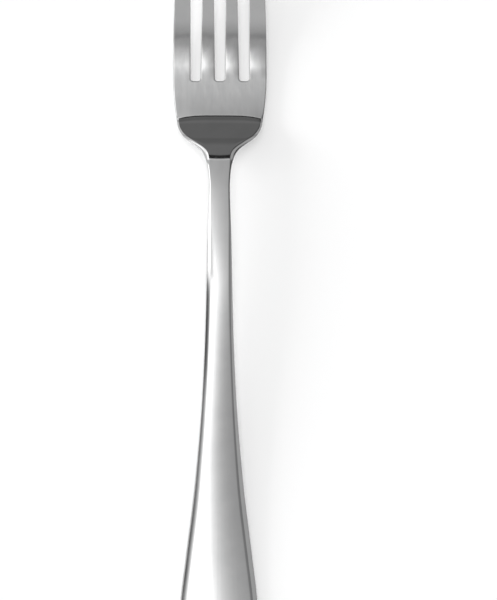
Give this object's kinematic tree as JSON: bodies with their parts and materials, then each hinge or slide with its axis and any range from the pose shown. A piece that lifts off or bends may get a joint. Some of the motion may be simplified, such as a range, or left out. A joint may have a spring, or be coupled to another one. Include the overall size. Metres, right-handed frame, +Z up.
{
  "type": "dinner fork",
  "caption": "Plain polished dinner fork with curved round-tipped tines, a flat palm, dropped shoulders, a slim neck and a crowned handle that widens to a round end.",
  "frame": {"origin": "on the table, at the middle of the fork's length and width", "axes": "+Y from the end of the handle to the tips of the tines, +X to the right seen from above with the tips at the top, +Z up, with the hollow side of the tines up"},
  "size_m": [0.026, 0.208, 0.0153],
  "materials": {
    "polished_steel": "polished"
  },
  "bodies": {
    "root": {"tine_outer_left": "polished_steel", "tine_inner_left": "polished_steel", "tine_inner_right": "polished_steel", "tine_outer_right": "polished_steel", "palm": "polished_steel", "shoulder": "polished_steel", "neck": "polished_steel", "handle": "polished_steel"}
  },
  "joints": []
}
